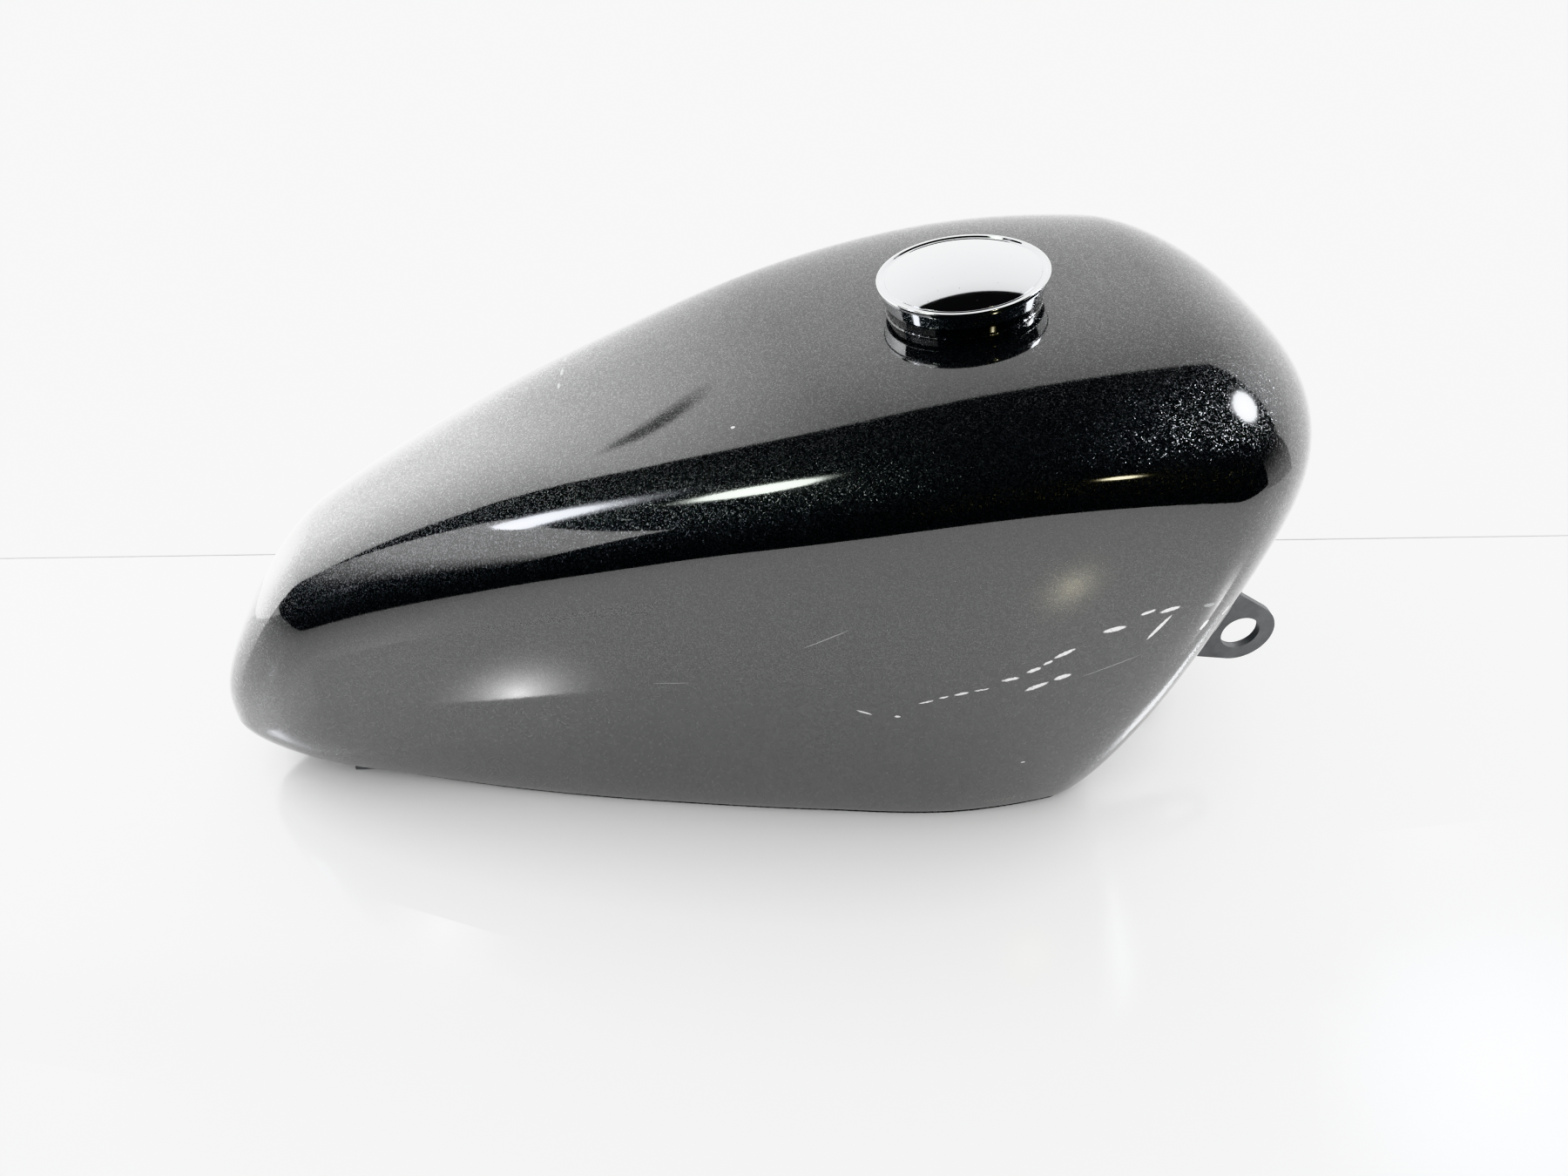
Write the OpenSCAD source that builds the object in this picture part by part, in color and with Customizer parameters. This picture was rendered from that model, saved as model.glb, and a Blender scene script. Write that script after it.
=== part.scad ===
// Teardrop motorcycle fuel tank: two pressed half shells welded to a pan that holds
// the frame tunnel, two front ears, a rear tab, a petcock bung and a filler neck
// closed by a domed screw cap with a spring vent valve.
// Frame: +X to the nose, +Y to the rider's left, +Z up. The origin is on the surface the
// tank stands on, under the middle of its length, on the centreline.

/* [Shell] */
// Foremost point of the nose
nose_x = 238; // [225:1:250]
// Height of the nose point
nose_z = 187; // [170:1:200]
// Rearmost point of the tail
tail_x = -254.3; // [-270:0.1:-240]
// Height of the tail point
tail_z = 36; // [25:1:50]
// Length over which the nose rounds off
nose_round = 66; // [40:1:90]
// Length over which the tail rounds off
tail_round = 60; // [40:1:90]
// Where the flat bottom turns up into the front face
front_x = 165; // [150:1:180]
// Rise of the front face for each mm forward
front_slope = 2.62; // [2:0.01:3.5]
// Lift of the underside at the tail
tail_lift = 11; // [0:1:20]
// Where that lift starts
lift_x = -37; // [-100:1:0]
// Sheet thickness
sheet = 1.2; // [0.8:0.1:2]

/* [Frame tunnel] */
// Widest half width of the tunnel
tunnel_half = 28; // [20:1:32]
// Tunnel roof height at the front
roof_front = 112; // [90:1:125]
// Tunnel roof height at the tail
roof_tail = 26; // [15:1:40]

/* [Front ears] */
// Ear hole centre, forward
ear_x = 237; // [230:1:245]
// Ear hole centre, height
ear_z = 68; // [60:1:80]
// Ear hole radius
ear_hole_r = 9.5; // [8:0.1:11]
// Ear outer radius
ear_r = 17; // [14:0.5:20]
// Outer face of each ear from the centreline
ear_y = 42; // [36:1:46]
// Ear plate thickness
ear_t = 4; // [3:0.5:6]

/* [Rear tab] */
// Hole centre
tab_x = -184; // [-195:1:-170]
// Plate thickness
tab_t = 3; // [2:0.5:3]
// Hole radius
tab_hole_r = 4.3; // [3:0.1:5]

/* [Petcock bung] */
// Bung centre, lengthwise
bung_x = -75; // [-90:1:-40]
// Bung centre, to the left
bung_y = 40; // [38:0.5:42]
// Bung outer radius
bung_r = 10.4; // [9:0.1:11]
// Thread hole radius
bung_hole_r = 6.9; // [5:0.1:8]
// Bung height
bung_h = 14; // [8:1:20]

/* [Filler] */
// Where the filler axis meets the crown
cap_x = 93; // [60:1:120]
// Rearward lean of the filler axis
cap_lean = 7.7; // [0:0.1:12]
// Height of the neck's top over the skin
neck_top = 4; // [3:0.5:8]
// Neck outer radius
neck_r = 32; // [30:0.5:32]
// Neck bore radius
neck_bore_r = 27.6; // [26:0.1:29]
// Rise of the two-start thread in one turn
lead = 8; // [6:1:12]

/* [Cap] */
// Rim radius of the cover
cap_r = 35.5; // [34:0.5:38]
// Radius of the cover's skirt at its lower edge
skirt_foot_r = 33.4; // [33:0.1:35]
// Height of the rim over the skin
rim_s = 12; // [10:0.5:15]
// Height of the dome over the rim
dome_h = 5; // [3:0.5:8]
// Radius of the threaded plug without its thread
plug_r = 25.6; // [24:0.1:26]

/* [Hidden] */
$fn = 96;

// The body's lines at eight equal stations from tail to nose: crown height, half width at
// the widest line, height of the widest line, and half width of the underside.
crown_row = [96, 144, 178, 201, 219, 232, 238, 236];
width_row = [37, 53, 72, 91, 108, 115, 114, 106];
waist_row = [38, 89, 131, 164, 187, 198, 196, 181];
floor_row = [8, 25, 43, 58, 71, 80, 71, 47];
crown_power = 2 / 3.1;  // squarish shoulders along most of the length
nose_power = 2 / 2.5;   // rounder shoulders at the nose
side_power = 2 / 1.33;  // how the side curves in towards the underside
drop_power = 2 / 1.7;
bend = 25;              // half length of the bend from the flat bottom to the front face
tip = 0.3;              // the first and last sections stand this far in from the ends
stations = 44;
upper = 11;             // steps round the section above the widest line, and below it
around = 2 * upper;

black = [0.07, 0.07, 0.08];
dark = [0.16, 0.16, 0.17];
chrome = [0.86, 0.87, 0.88];
steel = [0.55, 0.56, 0.58];
rubber = [0.06, 0.06, 0.06];
brass = [0.78, 0.62, 0.3];

function mix(a, b, t) = a + (b - a) * t;

// Smooth curve through a row of values, t from 0 at the first to 1 at the last.
function curve(r, t) =
    let (n = len(r) - 1, k = min(n - 1, floor(t * n)), f = t * n - k,
         a = k > 0 ? r[k - 1] : 2 * r[0] - r[1], b = r[k], c = r[k + 1],
         d = k < n - 1 ? r[k + 2] : 2 * r[n] - r[n - 1])
    b + f / 2 * (c - a) + f * f * (a - 2.5 * b + 2 * c - 0.5 * d)
      + f * f * f * (-0.5 * a + 1.5 * b - 1.5 * c + 0.5 * d);

function along(x) = (x - tail_x) / (nose_x - tail_x);
function row(r, x) = curve(r, along(x));

// Quarter-ellipse closings of the two ends.
function tail_e(x) = sqrt(1 - pow(1 - min(1, (x - tail_x) / tail_round), 2));
function nose_e(x) = sqrt(1 - pow(1 - min(1, (nose_x - x) / nose_round), 2));
function closed(v, x) = mix(nose_z, mix(tail_z, v, tail_e(x)), nose_e(x));

function crown(x) = closed(row(crown_row, x), x);
function waist(x) = closed(row(waist_row, x), x);
function half_width(x) = row(width_row, x) * tail_e(x) * nose_e(x);
function floor_half(x) = row(floor_row, x) * tail_e(x) * nose_e(x);

// Height of the underside: lifted at the tail, flat, then up the front face.
function front_rise(d) =
    d < -bend ? 0 : d > bend ? front_slope * d : front_slope * pow(d + bend, 2) / (4 * bend);
function tail_rise(x) = tail_lift * pow(max(0, (lift_x - x) / (lift_x - tail_x)), 2);
function base(x) = mix(tail_z, min(nose_z, front_rise(x - front_x)) + tail_rise(x), tail_e(x));

function signed_pow(v, p) = sign(v) * pow(abs(v), p);

// Point on the right skin at x: a runs from 0 on the crown to 90 at the widest line and
// 180 at the seam with the pan.
function skin(x, a) =
    let (w = half_width(x), zw = waist(x), k = max(0, (along(x) - 0.7) / 0.3),
         p = mix(crown_power, nose_power, k * k * (3 - 2 * k)))
    a <= 90
    ? [x, -w * signed_pow(sin(a), p), zw + (crown(x) - zw) * pow(max(0, cos(a)), p)]
    : let (c = a - 90, b = floor_half(x))
      [x, -b - (w - b) * pow(max(0, cos(c)), side_power),
       zw - (zw - base(x)) * pow(sin(c), drop_power)];

xs = [for (i = [0:stations])
      (tail_x + nose_x) / 2 - ((nose_x - tail_x) / 2 - tip) * cos(180 * i / stations)];

// Unit normal of a grid at i, j from its neighbours; before is the row next to j = 0.
function unit(v) = v / norm(v);
function normal(g, i, j, before) =
    let (n = len(g) - 1, m = len(g[0]) - 1,
         across = g[i][min(m, j + 1)] - (j > 0 ? g[i][j - 1] : before))
    unit(cross(g[min(n, i + 1)][j] - g[max(0, i - 1)][j], across));
function flip_y(p) = [p[0], -p[1], p[2]];

skin_grid = [for (x = xs) [for (j = [0:around]) skin(x, 180 * j / around)]];
skin_inner = [for (i = [0:stations]) [for (j = [0:around])
    let (p = skin_grid[i][j] + sheet * normal(skin_grid, i, j, flip_y(skin_grid[i][1])))
    [p[0], min(0, p[1]), p[2]]]];

function flat(g) = [for (r = g) each r];
// Two triangles for each cell of a grid whose points start at number s, m + 1 to a row.
function sheet_faces(n, m, s, turned) = [for (i = [0:n - 1], j = [0:m - 1])
    let (a = s + i * (m + 1) + j, b = a + 1, c = a + m + 2, d = a + m + 1)
    each turned ? [[a, b, c], [a, c, d]] : [[a, c, b], [a, d, c]]];
// Two triangles for a four-sided face.
function quad(a, b, c, d) = [[a, b, c], [a, c, d]];

// One half shell, on the right. Its two ends close on the centreline.
module half_shell() {
    n = stations;
    m = around;
    w = m + 1;
    out = (n + 1) * w;
    t = 2 * out;
    tips = [[xs[0] + sheet, 0, base(xs[0]) + sheet], [xs[0], 0, base(xs[0])],
            [xs[n] - sheet, 0, base(xs[n]) + sheet / 2], [xs[n], 0, base(xs[n])]];
    faces = concat(
        sheet_faces(n, m, 0, true), sheet_faces(n, m, out, false),
        [for (i = [0:n - 1]) each quad(i * w, i * w + w, out + i * w + w, out + i * w)],
        [for (i = [0:n - 1])
            each quad(i * w + m, out + i * w + m, out + i * w + w + m, i * w + w + m)],
        [for (j = [0:m - 1]) [t, j + 1, j]],
        [for (j = [0:m - 1]) [t + 1, out + j, out + j + 1]],
        [for (j = [0:m - 1]) [t + 2, n * w + j, n * w + j + 1]],
        [for (j = [0:m - 1]) [t + 3, out + n * w + j + 1, out + n * w + j]],
        quad(t, 0, out, t + 1), quad(t + 1, out + m, m, t),
        quad(t + 2, t + 3, out + n * w, n * w),
        quad(n * w + m, out + n * w + m, t + 3, t + 2));
    polyhedron(concat(flat(skin_inner), flat(skin_grid), tips), faces, convexity = 6);
}

// The opening in the crown that the neck is welded into.
module neck_hole() {
    at_filler() translate([0, 0, -30]) cylinder(r = neck_r - 2, h = 60);
}

module right_shell() {
    color(black) difference() { half_shell(); neck_hole(); }
}
module left_shell() {
    color(black) difference() { mirror([0, 1, 0]) half_shell(); neck_hole(); }
}

// Tunnel section at x: half width and height over the underside.
function tunnel_w(x) = min(tunnel_half, 0.62 * floor_half(x));
function tunnel_h(x) = max(0, mix(roof_tail, roof_front, along(x)) - base(x));
arch_steps = 8;
arch_power = 0.55;      // squarish arch
function pan_half(x) =
    let (b = floor_half(x), w = tunnel_w(x), h = tunnel_h(x), z = base(x))
    concat([[x, -b, z], [x, -(b + w) / 2, z]],
        [for (k = [0:arch_steps]) let (a = 90 * k / arch_steps)
         [x, -w * pow(max(0, cos(a)), arch_power), z + h * pow(sin(a), arch_power)]]);
function pan_row(x) =
    let (h = pan_half(x), n = len(h) - 1) concat(h, [for (k = [1:n]) flip_y(h[n - k])]);

pan_grid = [for (x = xs) pan_row(x)];
pan_steps = len(pan_grid[0]) - 1;
// The pan's upper side ends on the shells' inner edges, so the seam closes.
pan_inner = [for (i = [0:stations]) [for (j = [0:pan_steps])
    j == 0 ? skin_inner[i][around] : j == pan_steps ? flip_y(skin_inner[i][around]) :
    pan_grid[i][j] + sheet * normal(pan_grid, i, j, pan_grid[i][0])]];

module tunnel_pan() {
    n = stations;
    m = pan_steps;
    w = m + 1;
    in = (n + 1) * w;
    faces = concat(
        sheet_faces(n, m, 0, false), sheet_faces(n, m, in, true),
        [for (i = [0:n - 1]) each quad(i * w, in + i * w, in + i * w + w, i * w + w)],
        [for (i = [0:n - 1])
            each quad(i * w + m, i * w + w + m, in + i * w + w + m, in + i * w + m)],
        [for (j = [0:m - 1]) each quad(j, j + 1, in + j + 1, in + j)],
        [for (j = [0:m - 1])
            each quad(n * w + j, in + n * w + j, in + n * w + j + 1, n * w + j + 1)]);
    color(black) difference() {
        polyhedron(concat(flat(pan_grid), flat(pan_inner)), faces, convexity = 8);
        translate([bung_x, bung_y, -5]) cylinder(r = bung_r - 1.8, h = 20);
    }
}

// Front ear outline: a round end with two straight edges running back to the front face.
top_edge = 55.6;        // direction from the hole to where the upper edge starts
low_edge = -101.4;      // and to where the lower edge starts
ear_back = 48.6;
low_back = 46;
function ear_rim(a) = [ear_x, ear_z] + ear_r * [cos(a), sin(a)];
module ear() {
    rotate([90, 0, 0]) linear_extrude(height = ear_t) difference() {
        union() {
            translate([ear_x, ear_z]) circle(r = ear_r);
            polygon([ear_rim(top_edge), ear_rim(top_edge) + ear_back * [-sin(top_edge),
                cos(top_edge)], ear_rim(low_edge) + low_back * [sin(low_edge),
                -cos(low_edge)], ear_rim(low_edge), [ear_x, ear_z]]);
        }
        translate([ear_x, ear_z]) circle(r = ear_hole_r);
    }
}
module right_front_ear() { color(dark) translate([0, ear_t - ear_y, 0]) ear(); }
module left_front_ear() { color(dark) translate([0, ear_y, 0]) ear(); }

// Tab under the tail, across the tunnel, lying along the lifted underside.
tab_len = 34;
tab_half = 22;
tab_tilt = atan((tail_rise(tab_x - tab_len / 2) - tail_rise(tab_x + tab_len / 2)) / tab_len);
module rear_mount_tab() {
    color(dark) translate([tab_x, 0, base(tab_x) + 0.3]) rotate([0, tab_tilt, 0])
    difference() {
        translate([-tab_len / 2, -tab_half, -tab_t]) cube([tab_len, 2 * tab_half, tab_t]);
        translate([0, 0, -2 * tab_t]) cylinder(r = tab_hole_r, h = 4 * tab_t);
    }
}

module petcock_bung() {
    color(steel) translate([bung_x, bung_y, 0.3]) difference() {
        cylinder(r = bung_r, h = bung_h);
        translate([0, 0, -1]) cylinder(r = bung_hole_r, h = bung_h + 2);
    }
}

// Filler frame: origin on the crown, +Z out along the filler axis.
module at_filler() {
    translate([cap_x, 0, crown(cap_x)]) rotate([0, -cap_lean, 0]) children();
}

// One thread ridge: a trapezoid swept up a helix from height s0.
ridge_root = 2.4;
ridge_crest = 1.2;
ridge_depth = 1.4;
ridge_step = 10;
module ridge(r_root, r_crest, s0, start, turns) {
    n = round(turns * 360 / ridge_step);
    shape = [[r_root, -ridge_root / 2], [r_crest, -ridge_crest / 2],
             [r_crest, ridge_crest / 2], [r_root, ridge_root / 2]];
    pts = [for (i = [0:n], q = shape) let (a = start + i * ridge_step)
           [q[0] * cos(a), q[0] * sin(a), s0 + lead * i * ridge_step / 360 + q[1]]];
    out = r_crest > r_root;
    side = [for (i = [0:n - 1], k = [0:3])
        let (a = 4 * i + k, b = 4 * i + (k + 1) % 4)
        each out ? quad(a, b, b + 4, a + 4) : quad(a, a + 4, b + 4, b)];
    first = quad(0, 3, 2, 1);
    last = quad(4 * n, 4 * n + 1, 4 * n + 2, 4 * n + 3);
    ends = concat(first, last);
    polyhedron(pts, concat(side, out ? ends : [for (f = ends) [f[2], f[1], f[0]]]),
               convexity = 8);
}
module two_start(r_root, r_crest, s0, turns) {
    for (a = [0, 180]) ridge(r_root, r_crest, s0, a, turns);
}

neck_low = -14;
neck_thread_low = neck_low + 3.2;
module filler_neck() {
    color(black) at_filler() {
        rotate_extrude() polygon([
            [neck_bore_r, neck_low], [neck_r - 2, neck_low], [neck_r, neck_low + 2],
            [neck_r, neck_top - 0.8], [neck_r - 0.8, neck_top],
            [neck_bore_r + 0.8, neck_top], [neck_bore_r, neck_top - 0.8]]);
        two_start(neck_bore_r + 0.3, neck_bore_r - ridge_depth, neck_thread_low, 1.25);
    }
}

// Heights of the cap's parts over the skin, along the filler axis.
gasket_low = neck_top + 0.15;
flange_low = neck_top + 2.15;
flange_top = flange_low + 2.5;
web_low = 2;
web_top = 5;
plug_low = -8;
cover_t = 1;
skirt_low = 4.6;
skirt_r = skirt_foot_r - 0.8;   // inside radius of the skirt
lip_t = 1.7;                    // height of the rolled lip
lip_over = 0.3;                 // it stands this far over the dome's edge

// Dome of the cover as a circular arc from the lip inwards; g lowers it.
dome_edge = cap_r - 2;
dome_radius = (dome_edge * dome_edge + dome_h * dome_h) / (2 * dome_h);
module dome_solid(g) {
    intersection() {
        translate([0, 0, rim_s + dome_h - dome_radius]) sphere(r = dome_radius - g, $fn = 200);
        translate([0, 0, rim_s - 4]) cylinder(r = dome_edge - g, h = 20);
    }
}
module cap_cover() {
    color(chrome) at_filler() difference() {
        union() {
            rotate_extrude() polygon([
                [0, skirt_low], [skirt_foot_r - 0.4, skirt_low],
                [skirt_foot_r, skirt_low + 0.4], [cap_r - 1, rim_s - lip_t],
                [cap_r - 0.4, rim_s - lip_t], [cap_r, rim_s - lip_t + 0.4],
                [cap_r, rim_s + lip_over - 0.5], [cap_r - 0.5, rim_s + lip_over],
                [dome_edge + 0.3, rim_s + lip_over], [dome_edge, rim_s], [0, rim_s]]);
            dome_solid(0);
        }
        translate([0, 0, skirt_low - 1]) cylinder(r = skirt_r - 0.6, h = 4);
        translate([0, 0, flange_low]) cylinder(r = skirt_r, h = rim_s - cover_t - flange_low);
        translate([0, 0, -cover_t]) dome_solid(0);
    }
}

boss_at = 17;           // retainer screws stand on this radius
module screw_ring() {
    for (a = [0, 120, 240]) rotate([0, 0, a]) translate([boss_at, 0, 0]) children();
}
retainer_low = plug_low;
retainer_t = 1;
flange_r = skirt_r - 0.05;
module cap_plug() {
    color(dark) at_filler() {
        difference() {
            union() {
                rotate_extrude() polygon([
                    [3.2, web_low], [21, web_low], [21, retainer_low + retainer_t],
                    [22.5, retainer_low + retainer_t], [22.5, plug_low],
                    [plug_r - 0.8, plug_low], [plug_r, plug_low + 0.8],
                    [plug_r, flange_low], [flange_r, flange_low], [flange_r, flange_top],
                    [23, flange_top], [23, web_top], [3.2, web_top]]);
                screw_ring() translate([0, 0, retainer_low + retainer_t])
                    cylinder(r = 3.2, h = web_low + 0.5 - retainer_low - retainer_t);
            }
            screw_ring() translate([0, 0, retainer_low]) cylinder(r = 1.3, h = 9);
        }
        two_start(plug_r - 0.3, plug_r + ridge_depth, neck_thread_low + 1.5 * lead / 2, 1.1);
    }
}

ratchet_low = flange_top + 0.02;
module ratchet_ring() {
    color(steel) at_filler() difference() {
        translate([0, 0, ratchet_low]) cylinder(r = skirt_r - 0.2, h = 1.4);
        translate([0, 0, ratchet_low - 1]) cylinder(r = 27, h = 4);
        for (a = [0:20:340]) rotate([0, 0, a]) translate([27, 0, ratchet_low - 1])
            cylinder(r = 2.2, h = 4, $fn = 24);
    }
}

module vent_filter() {
    color([0.55, 0.53, 0.48]) at_filler() difference() {
        translate([0, 0, web_top + 0.02]) cylinder(r = 14, h = 3);
        translate([0, 0, web_top - 1]) cylinder(r = 3.4, h = 6);
    }
}

// Poppet that seals the web from below and opens downwards.
valve_gap = 0.2;
module vent_valve() {
    color(brass) at_filler() rotate_extrude() polygon([
        [0, web_low - valve_gap - 1.5], [6.5, web_low - valve_gap - 1.5],
        [6.5, web_low - valve_gap], [2.8, web_low - valve_gap],
        [2.8, web_top - 0.6], [2.2, web_top], [0, web_top]]);
}

spring_r = 4.4;
spring_wire = 0.45;
spring_turns = 5;
spring_low = retainer_low + retainer_t + spring_wire + 0.05;
spring_high = web_low - valve_gap - 1.5 - spring_wire - 0.05;
module vent_spring() {
    k = 6;
    step = 15;
    n = spring_turns * 360 / step;
    pts = [for (i = [0:n], q = [0:k - 1]) let (a = i * step, b = 360 * q / k,
               r = spring_r + spring_wire * cos(b))
           [r * cos(a), r * sin(a),
            mix(spring_low, spring_high, i / n) + spring_wire * sin(b)]];
    side = [for (i = [0:n - 1], q = [0:k - 1])
        let (a = k * i + q, b = k * i + (q + 1) % k) each quad(a, a + k, b + k, b)];
    color(steel) at_filler() polyhedron(pts,
        concat(side, [[for (q = [0:k - 1]) q], [for (q = [0:k - 1]) k * n + k - 1 - q]]),
        convexity = 10);
}

module cap_retainer() {
    color(steel) at_filler() translate([0, 0, retainer_low]) difference() {
        cylinder(r = 22.4, h = retainer_t);
        screw_ring() translate([0, 0, -1]) cylinder(r = 1.6, h = 3);
        for (a = [60, 180, 300]) rotate([0, 0, a]) translate([10, 0, -1])
            cylinder(r = 2, h = 3);
    }
}
module retainer_screws() {
    color(steel) at_filler() screw_ring() {
        translate([0, 0, retainer_low - 0.02]) cylinder(r = 1.25, h = 8);
        translate([0, 0, retainer_low - 1.62]) difference() {
            cylinder(r = 2.7, h = 1.6);
            translate([-3, -0.35, -0.5]) cube([6, 0.7, 1.1]);
        }
    }
}

module cap_gasket() {
    color(rubber) at_filler() translate([0, 0, gasket_low]) difference() {
        cylinder(r = neck_r - 0.6, h = flange_low - 0.15 - gasket_low);
        translate([0, 0, -1]) cylinder(r = neck_bore_r + 0.8, h = 5);
    }
}

right_shell();
left_shell();
tunnel_pan();
right_front_ear();
left_front_ear();
rear_mount_tab();
petcock_bung();
filler_neck();
cap_cover();
cap_plug();
ratchet_ring();
vent_filter();
vent_valve();
vent_spring();
cap_retainer();
retainer_screws();
cap_gasket();
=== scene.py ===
"""Looks of the teardrop fuel tank: smooth painted shells and pan, welds, a chrome cap and a plain studio."""

import bmesh
import bpy
import math
import numpy as np
from mathutils import Matrix, Vector


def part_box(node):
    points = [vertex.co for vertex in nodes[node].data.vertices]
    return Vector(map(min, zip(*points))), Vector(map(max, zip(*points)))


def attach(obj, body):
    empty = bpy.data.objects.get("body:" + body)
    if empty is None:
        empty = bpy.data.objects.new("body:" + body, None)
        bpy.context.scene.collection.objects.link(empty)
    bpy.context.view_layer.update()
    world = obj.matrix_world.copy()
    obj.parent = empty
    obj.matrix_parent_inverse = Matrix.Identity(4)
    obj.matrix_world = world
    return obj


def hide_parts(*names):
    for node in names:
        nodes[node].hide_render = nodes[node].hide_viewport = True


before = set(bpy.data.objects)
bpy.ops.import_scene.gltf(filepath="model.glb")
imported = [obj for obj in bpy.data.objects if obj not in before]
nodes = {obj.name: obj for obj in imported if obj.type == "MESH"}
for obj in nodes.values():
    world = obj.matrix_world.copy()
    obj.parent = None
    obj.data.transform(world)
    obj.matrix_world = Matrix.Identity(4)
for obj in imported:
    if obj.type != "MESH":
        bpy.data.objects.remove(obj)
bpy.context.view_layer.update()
mm = 0.001

# ---------------------------------------------------------------- camera

SENSOR = 36             # mm across
LENS = 27.02            # focal length in mm
CAMERA_PLACE = (-0.0335, -0.4400, 0.4524)
LOOKS_DOWN = 39.83      # degrees below level
LOOKS_ASIDE = -6.67     # degrees about the vertical

camera_data = bpy.data.cameras.new("camera")
camera_data.sensor_width = SENSOR
camera_data.lens = LENS
camera_data.clip_start = 0.01
camera = bpy.data.objects.new("camera", camera_data)
bpy.context.scene.collection.objects.link(camera)
camera.location = CAMERA_PLACE
camera.rotation_euler = (math.radians(90 - LOOKS_DOWN), 0, math.radians(LOOKS_ASIDE))
bpy.context.scene.camera = camera

# ---------------------------------------------------------------- mesh helpers

ON_AXIS = 1e-6          # a radius below this counts as a point on the axis
GENTLE = 0.15           # corners that turn by less than this, in radians, stay as they are
ARC_SHARE = 0.45        # the most of an edge that the arc at one of its ends may use


def grid_faces(rows, columns, start=0, turned=False):
    """Quads of a grid of points that is stored row by row."""
    faces = []
    for i in range(rows - 1):
        for j in range(columns - 1):
            a = start + i * columns + j
            quad = (a, a + 1, a + columns + 1, a + columns)
            faces.append(quad[::-1] if turned else quad)
    return faces


def new_piece(name, points, faces, material, body="tank"):
    """A smooth-shaded mesh object that rides on a body."""
    mesh = bpy.data.meshes.new(name)
    mesh.from_pydata([tuple(p) for p in points], [], faces)
    mesh.validate()
    mesh.shade_smooth()
    mesh.materials.append(material)
    obj = bpy.data.objects.new(name, mesh)
    bpy.context.scene.collection.objects.link(obj)
    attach(obj, body)
    return obj


def sharpen(obj, degrees=35):
    """Keeps edges sharper than this angle crisp in the shading, and faces turned outwards."""
    limit = math.radians(degrees)
    work = bmesh.new()
    work.from_mesh(obj.data)
    bmesh.ops.recalc_face_normals(work, faces=work.faces)
    for edge in work.edges:
        edge.smooth = len(edge.link_faces) == 2 and edge.calc_face_angle(0) < limit
    for face in work.faces:
        face.smooth = True
    work.to_mesh(obj.data)
    work.free()


def rounded(outline, radius, steps=5):
    """The closed outline with its corners off the axis replaced by arcs of about this radius."""
    points = []
    for k, corner in enumerate(outline):
        here = Vector(corner)
        before = Vector(outline[k - 1])
        after = Vector(outline[(k + 1) % len(outline)])
        back = before - here
        forth = after - here
        turn = math.pi - back.angle(forth)
        if here.x < ON_AXIS or turn < GENTLE:
            points.append(tuple(here))
            continue
        reach = min(radius * math.tan(turn / 2), ARC_SHARE * back.length, ARC_SHARE * forth.length)
        a = here + back.normalized() * reach
        b = here + forth.normalized() * reach
        for n in range(steps + 1):
            t = n / steps
            points.append(tuple(a * (1 - t) ** 2 + here * 2 * t * (1 - t) + b * t ** 2))
    return points


def lathe(name, outline, place, material, body, steps=192):
    """Turns a closed outline of (radius, height) points in mm about the Z axis of a placing matrix."""
    points = []
    faces = []
    ring_start = []
    for radius, height in outline:
        ring_start.append(len(points))
        for k in range(1 if radius < ON_AXIS else steps):
            a = 2 * math.pi * k / steps
            points.append(place @ (Vector((radius * math.cos(a), radius * math.sin(a), height)) * mm))
    for here in range(len(outline)):
        there = (here + 1) % len(outline)
        a = ring_start[here]
        b = ring_start[there]
        for k in range(steps):
            n = (k + 1) % steps
            if outline[here][0] >= ON_AXIS and outline[there][0] >= ON_AXIS:
                faces.append((a + k, a + n, b + n, b + k))
            elif outline[there][0] >= ON_AXIS:
                faces.append((a, b + n, b + k))
            elif outline[here][0] >= ON_AXIS:
                faces.append((a + k, a + n, b))
    obj = new_piece(name, points, faces, material, body)
    sharpen(obj)
    return obj


def bead(name, path, radius, material, closed=False, body="tank", sides=10, ripple=0.12, seed=1):
    """A weld bead: a round tube along a path in metres, with ripples and closed ends."""
    draw = np.random.default_rng(seed)
    path = [Vector(p) for p in path]
    count = len(path)
    points = []
    for i, here in enumerate(path):
        before = path[i - 1] if i or closed else here
        after = path[(i + 1) % count] if i < count - 1 or closed else here
        along_path = (after - before).normalized()
        side = along_path.orthogonal() if i == 0 else side - along_path * side.dot(along_path)
        side.normalize()
        up = along_path.cross(side)
        taper = 1 if closed else min(1, 0.35 + 0.4 * min(i, count - 1 - i))
        thick = radius * taper * (1 + ripple * (draw.random() - 0.5) + ripple * math.sin(2.1 * i))
        for k in range(sides):
            a = 2 * math.pi * k / sides
            points.append(here + thick * (math.cos(a) * side + math.sin(a) * up))
    faces = []
    for i in range(count if closed else count - 1):
        a = i * sides
        b = (i + 1) % count * sides
        for k in range(sides):
            n = (k + 1) % sides
            faces.append((a + k, a + n, b + n, b + k))
    if not closed:
        faces.append(tuple(range(sides))[::-1])
        faces.append(tuple(range((count - 1) * sides, count * sides)))
    obj = new_piece(name, points, faces, material, body)
    sharpen(obj, 60)
    return obj


# ---------------------------------------------------------------- the body's shape

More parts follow.
